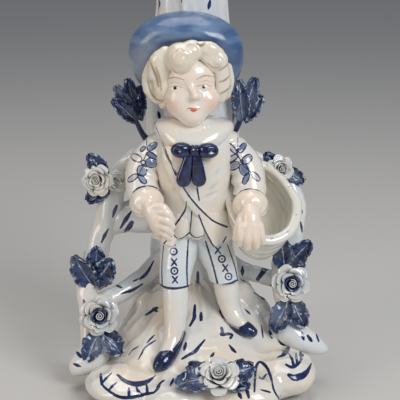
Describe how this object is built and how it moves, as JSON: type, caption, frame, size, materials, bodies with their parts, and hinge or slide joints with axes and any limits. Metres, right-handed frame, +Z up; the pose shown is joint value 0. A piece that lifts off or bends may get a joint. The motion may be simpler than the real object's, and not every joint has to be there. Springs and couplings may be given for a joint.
{
  "type": "porcelain figurine",
  "caption": "Glazed porcelain figurine of a boy with a blue hat and an open basket, standing on a rocky mound in front of a hollow tree-trunk vase with openwork branches and applied roses.",
  "frame": {"origin": "centre of the oval foot, on the surface that the figurine stands on", "axes": "+Z up the trunk vase, +Y away from the viewer who faces the boy, +X to that viewer's right"},
  "size_m": [0.0999, 0.0835, 0.168],
  "materials": {
    "porcelain_rock": "warm white glazed porcelain with blue brush strokes",
    "porcelain_trunk": "white glazed porcelain bark with blue strokes",
    "porcelain_branch": "white glazed porcelain bark with blue strokes",
    "porcelain_dress": "white glazed porcelain with painted blue sprays",
    "porcelain_cream": "warm cream glazed porcelain",
    "porcelain_skin": "cream glazed porcelain with a blush tint",
    "porcelain_hair": "cream glazed porcelain with pale brown wash in the grooves",
    "porcelain_breeches": "bluish white glazed porcelain with painted stripes",
    "porcelain_stocking": "white glazed porcelain",
    "cobalt_glaze": "glossy dark cobalt glaze",
    "blue_hat_glaze": "glossy streaked mid blue glaze",
    "porcelain_basket": "white glazed porcelain",
    "porcelain_rose": "white glazed porcelain petals with grey-blue wash",
    "leaf_glaze": "mottled cobalt glaze over white porcelain"
  },
  "bodies": {
    "root": {"base_mound": "porcelain_rock", "basket": "porcelain_basket", "basket_rim": "porcelain_basket", "bow_knot": "cobalt_glaze", "bow_loop_left": "cobalt_glaze", "bow_loop_right": "cobalt_glaze", "bow_tail_left": "cobalt_glaze", "bow_tail_right": "cobalt_glaze", "branch_left_cross": "porcelain_branch", "branch_left_lower": "porcelain_branch", "branch_left_upper": "porcelain_branch", "branch_left_web": "porcelain_branch", "branch_right_cross": "porcelain_branch", "branch_right_lower": "porcelain_branch", "branch_right_upper": "porcelain_branch", "breeches_left": "porcelain_breeches", "breeches_right": "porcelain_breeches", "bud_left": "porcelain_rose", "coat_skirt_left": "porcelain_dress", "coat_skirt_right": "porcelain_dress", "collar": "porcelain_dress", "cuff_left": "porcelain_cream", "cuff_right": "porcelain_cream", "forelock": "porcelain_hair", "hair": "porcelain_hair", "hand_left": "porcelain_skin", "hand_right": "porcelain_skin", "hat_brim": "blue_hat_glaze", "hat_crown": "blue_hat_glaze", "head": "porcelain_skin", "jacket": "porcelain_dress", "knob_left": "porcelain_branch", "knob_right": "porcelain_branch", "leaf_spray_left": "leaf_glaze", "leaf_spray_right": "leaf_glaze", "leaves_front_left": "leaf_glaze", "leaves_front_right": "leaf_glaze", "leaves_left_lower": "leaf_glaze", "leaves_left_middle": "leaf_glaze", "leaves_left_upper": "leaf_glaze", "leaves_right_lower": "leaf_glaze", "leaves_right_middle": "leaf_glaze", "leaves_right_upper": "leaf_glaze", "neck": "porcelain_skin", "rose_front": "porcelain_rose", "rose_left_lower": "porcelain_rose", "rose_left_upper": "porcelain_rose", "rose_right_lower": "porcelain_rose", "rose_right_upper": "porcelain_rose", "sash": "porcelain_dress", "shoe_left": "cobalt_glaze", "shoe_right": "cobalt_glaze", "sleeve_left": "porcelain_dress", "sleeve_right": "porcelain_dress", "stem_left": "porcelain_branch", "stem_right": "porcelain_branch", "stocking_left": "porcelain_stocking", "stocking_right": "porcelain_stocking", "trunk_vase": "porcelain_trunk", "waistcoat": "porcelain_dress"}
  },
  "joints": []
}
